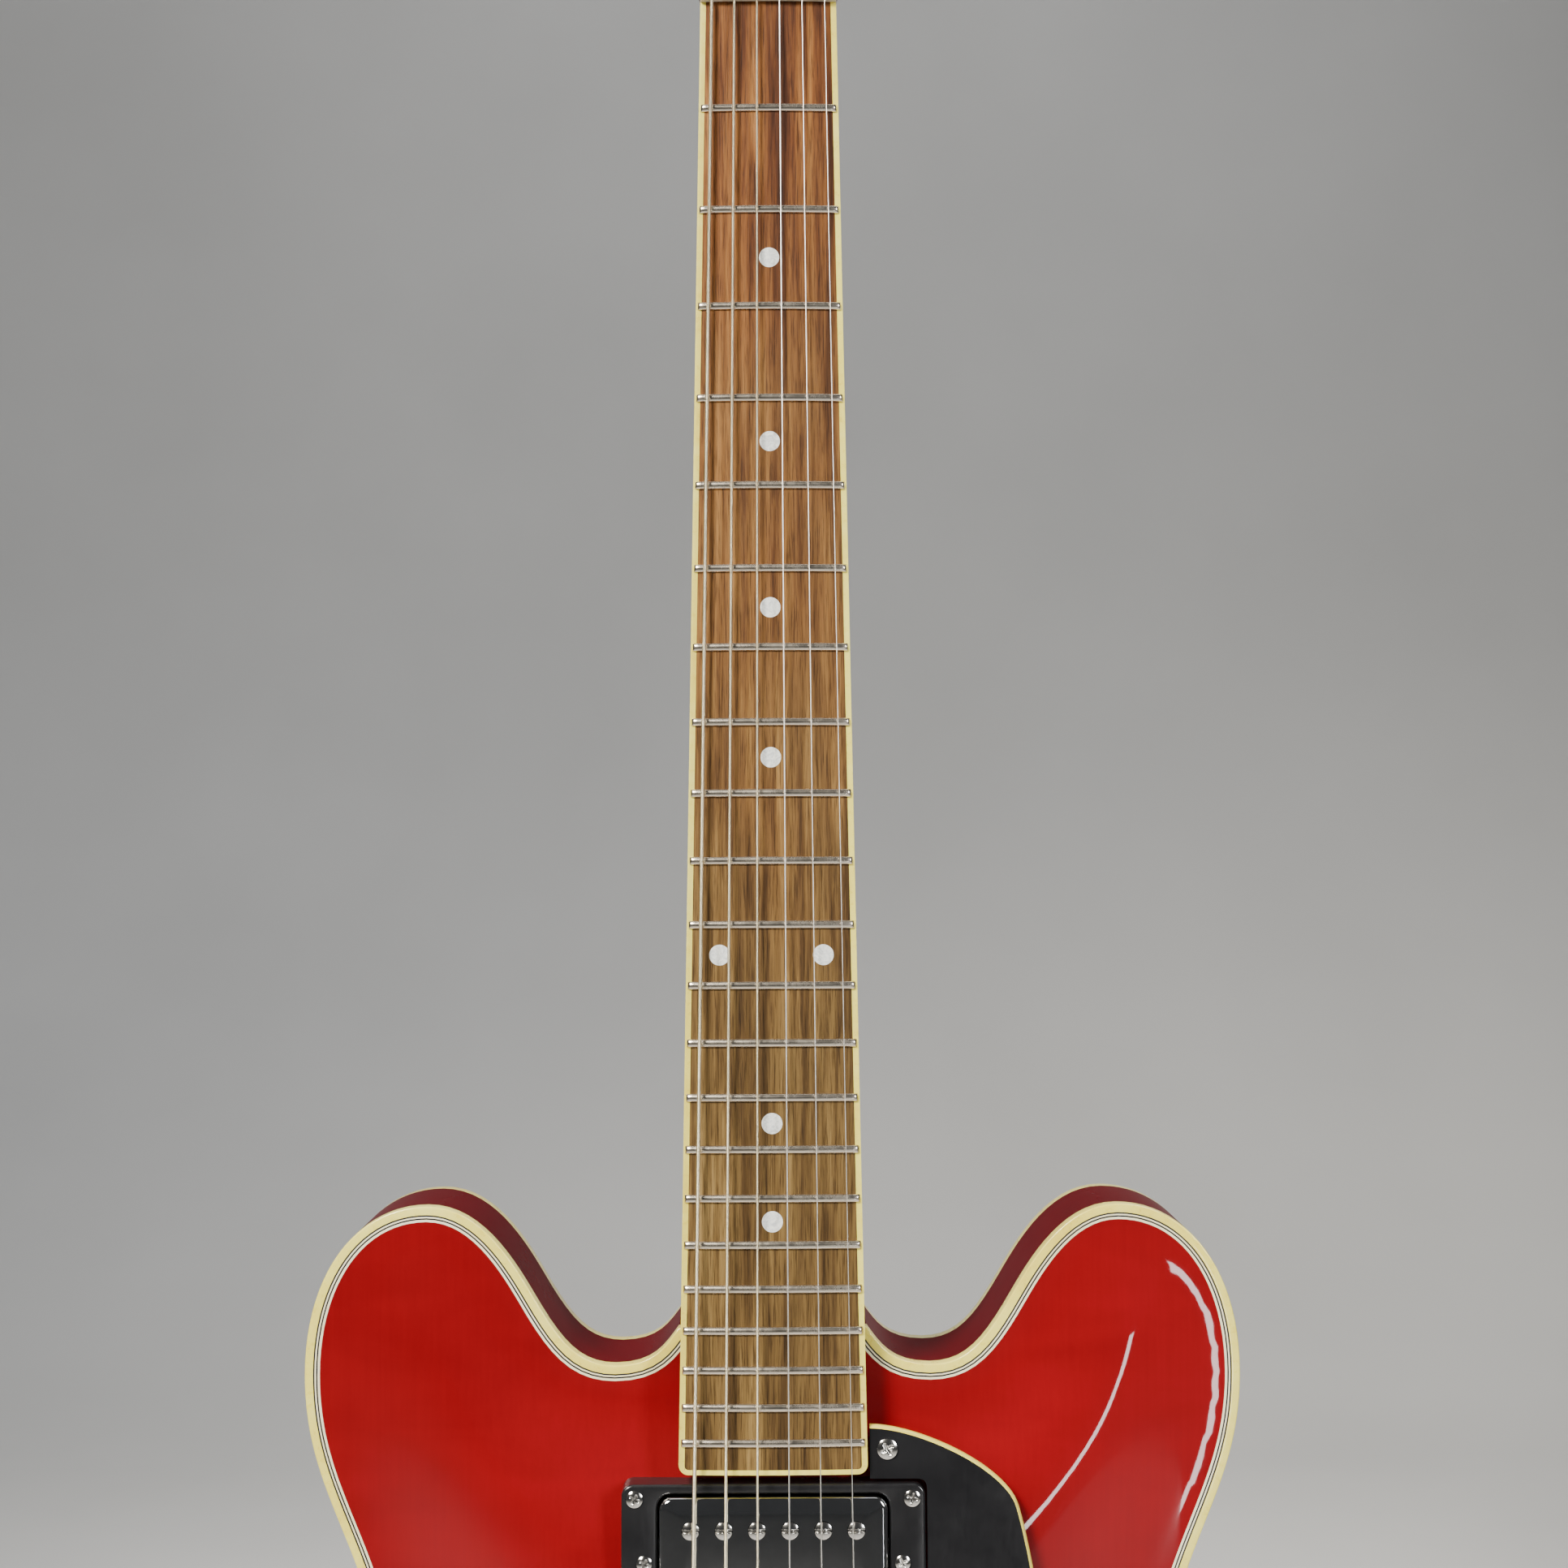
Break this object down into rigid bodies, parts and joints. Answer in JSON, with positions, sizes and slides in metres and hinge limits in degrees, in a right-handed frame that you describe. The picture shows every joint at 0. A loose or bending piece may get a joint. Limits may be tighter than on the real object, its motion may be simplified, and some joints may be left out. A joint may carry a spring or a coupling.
{
  "type": "electric guitar",
  "caption": "Semi-hollow electric guitar with arched bound body in red lacquer, set neck, bound rosewood fingerboard, humbucking pickups and fixed bridge.",
  "frame": {"origin": "middle of the body's end, on the centre line and half way through the rim, where the end strap button sits", "axes": "+Z along the body and neck towards the headstock, -Y out of the front of the guitar, +X towards the thinnest string"},
  "size_m": [0.406, 0.1349, 1.0438],
  "materials": {
    "cherry_lacquer": "gloss translucent cherry lacquer over maple",
    "maroon_lacquer": "gloss dark cherry lacquer over maple",
    "neck_lacquer": "gloss dark cherry lacquer over mahogany",
    "bare_maple": "unfinished, inside the body",
    "cream_binding": "aged cream binding",
    "black_plastic": "moulded, glossy",
    "rosewood": "oiled, open grain",
    "nickel": "bright nickel plate",
    "fret_wire": "polished nickel silver",
    "pearloid": "pearl white",
    "nut_bone": "cream bone",
    "string_steel": "nickel wound and plain steel",
    "rod_steel": "plain steel",
    "switch_tip": "cream",
    "wire_cover": "cloth-covered wire"
  },
  "bodies": {
    "root": {"top_plate": "cherry_lacquer", "back_plate": "cherry_lacquer", "rim": "maroon_lacquer", "center_block": "bare_maple", "linings": "bare_maple", "top_binding": "cream_binding", "top_purfling": "cream_binding", "back_binding": "cream_binding", "neck": "neck_lacquer", "headstock_veneer": "black_plastic", "truss_rod": "rod_steel", "truss_rod_cover": "black_plastic", "fingerboard": "rosewood", "fingerboard_binding": "cream_binding", "frets": "fret_wire", "position_markers": "pearloid", "nut": "nut_bone", "headstock_screws": "nickel", "tuner_housings": "nickel", "tuner_bushings": "nickel", "strings": "string_steel", "bridge_base": "nickel", "bridge_saddles": "nickel", "saddle_screws": "nickel", "bridge_posts": "nickel", "tailpiece": "nickel", "tailpiece_studs": "nickel", "neck_pickup_cover": "nickel", "bridge_pickup_cover": "nickel", "pickup_coils": "black_plastic", "pickup_pole_screws": "nickel", "pickup_baseplates": "nickel", "pickup_rings": "black_plastic", "pickup_ring_screws": "nickel", "pickup_springs": "nickel", "pickguard": "black_plastic", "pickguard_binding": "cream_binding", "pickguard_bracket": "nickel", "potentiometers": "nickel", "toggle_switch": "nickel", "output_jack": "nickel", "strap_buttons": "nickel", "wiring": "wire_cover"},
    "tuner_post_1": {"tuner_post_1": "nickel"},
    "tuner_key_1": {"tuner_key_1": "nickel"},
    "tuner_post_2": {"tuner_post_2": "nickel"},
    "tuner_key_2": {"tuner_key_2": "nickel"},
    "tuner_post_3": {"tuner_post_3": "nickel"},
    "tuner_key_3": {"tuner_key_3": "nickel"},
    "tuner_post_4": {"tuner_post_4": "nickel"},
    "tuner_key_4": {"tuner_key_4": "nickel"},
    "tuner_post_5": {"tuner_post_5": "nickel"},
    "tuner_key_5": {"tuner_key_5": "nickel"},
    "tuner_post_6": {"tuner_post_6": "nickel"},
    "tuner_key_6": {"tuner_key_6": "nickel"},
    "knob_1": {"knob_1": "black_plastic"},
    "knob_2": {"knob_2": "black_plastic"},
    "knob_3": {"knob_3": "black_plastic"},
    "knob_4": {"knob_4": "black_plastic"},
    "toggle_lever": {"toggle_lever": "switch_tip"}
  },
  "joints": [
    {"name": "tuner_key_1_turn", "type": "hinge", "parent": "root", "child": "tuner_key_1", "pos_m": [-0.0245, 0.03351, 0.89532], "axis": [1, 0, 0], "continuous": true},
    {"name": "tuner_post_1_turn", "type": "hinge", "parent": "root", "child": "tuner_post_1", "pos_m": [-0.0245, 0.03616, 0.90207], "axis": [0, 0.9302, -0.3669], "continuous": true},
    {"name": "tuner_key_2_turn", "type": "hinge", "parent": "root", "child": "tuner_key_2", "pos_m": [-0.0265, 0.0478, 0.9316], "axis": [1, 0, 0], "continuous": true},
    {"name": "tuner_post_2_turn", "type": "hinge", "parent": "root", "child": "tuner_post_2", "pos_m": [-0.0265, 0.05046, 0.93835], "axis": [0, 0.9302, -0.3669], "continuous": true},
    {"name": "tuner_key_3_turn", "type": "hinge", "parent": "root", "child": "tuner_key_3", "pos_m": [-0.0285, 0.06209, 0.96789], "axis": [1, 0, 0], "continuous": true},
    {"name": "tuner_post_3_turn", "type": "hinge", "parent": "root", "child": "tuner_post_3", "pos_m": [-0.0285, 0.06475, 0.97464], "axis": [0, 0.9302, -0.3669], "continuous": true},
    {"name": "tuner_key_4_turn", "type": "hinge", "parent": "root", "child": "tuner_key_4", "pos_m": [0.0285, 0.06209, 0.96789], "axis": [1, 0, 0], "continuous": true},
    {"name": "tuner_post_4_turn", "type": "hinge", "parent": "root", "child": "tuner_post_4", "pos_m": [0.0285, 0.06475, 0.97464], "axis": [0, 0.9302, -0.3669], "continuous": true},
    {"name": "tuner_key_5_turn", "type": "hinge", "parent": "root", "child": "tuner_key_5", "pos_m": [0.0265, 0.0478, 0.9316], "axis": [1, 0, 0], "continuous": true},
    {"name": "tuner_post_5_turn", "type": "hinge", "parent": "root", "child": "tuner_post_5", "pos_m": [0.0265, 0.05046, 0.93835], "axis": [0, 0.9302, -0.3669], "continuous": true},
    {"name": "tuner_key_6_turn", "type": "hinge", "parent": "root", "child": "tuner_key_6", "pos_m": [0.0245, 0.03351, 0.89532], "axis": [1, 0, 0], "continuous": true},
    {"name": "tuner_post_6_turn", "type": "hinge", "parent": "root", "child": "tuner_post_6", "pos_m": [0.0245, 0.03616, 0.90207], "axis": [0, 0.9302, -0.3669], "continuous": true},
    {"name": "neck_volume_knob_turn", "type": "hinge", "parent": "root", "child": "knob_1", "pos_m": [0.092, -0.0332, 0.152], "axis": [0, -1, 0], "range_deg": [0, 300]},
    {"name": "neck_tone_knob_turn", "type": "hinge", "parent": "root", "child": "knob_2", "pos_m": [0.143, -0.02954, 0.132], "axis": [0.1546, -0.9877, 0.0216], "range_deg": [0, 300]},
    {"name": "bridge_volume_knob_turn", "type": "hinge", "parent": "root", "child": "knob_3", "pos_m": [0.072, -0.0332, 0.1], "axis": [0.0003, -1, -0.0015], "range_deg": [0, 300]},
    {"name": "bridge_tone_knob_turn", "type": "hinge", "parent": "root", "child": "knob_4", "pos_m": [0.123, -0.02852, 0.078], "axis": [0.1039, -0.9837, -0.1466], "range_deg": [0, 300]},
    {"name": "pickup_selector_tilt", "type": "hinge", "parent": "root", "child": "toggle_lever", "pos_m": [0.13848, -0.0234, 0.18167], "axis": [0.985, 0.1726, 0], "range_deg": [-12, 12]}
  ],
  "couplings": [
    {"joint": "tuner_post_1_turn", "follows": "tuner_key_1_turn", "ratio": -0.071429},
    {"joint": "tuner_post_2_turn", "follows": "tuner_key_2_turn", "ratio": -0.071429},
    {"joint": "tuner_post_3_turn", "follows": "tuner_key_3_turn", "ratio": -0.071429},
    {"joint": "tuner_post_4_turn", "follows": "tuner_key_4_turn", "ratio": -0.071429},
    {"joint": "tuner_post_5_turn", "follows": "tuner_key_5_turn", "ratio": -0.071429},
    {"joint": "tuner_post_6_turn", "follows": "tuner_key_6_turn", "ratio": -0.071429}
  ]
}
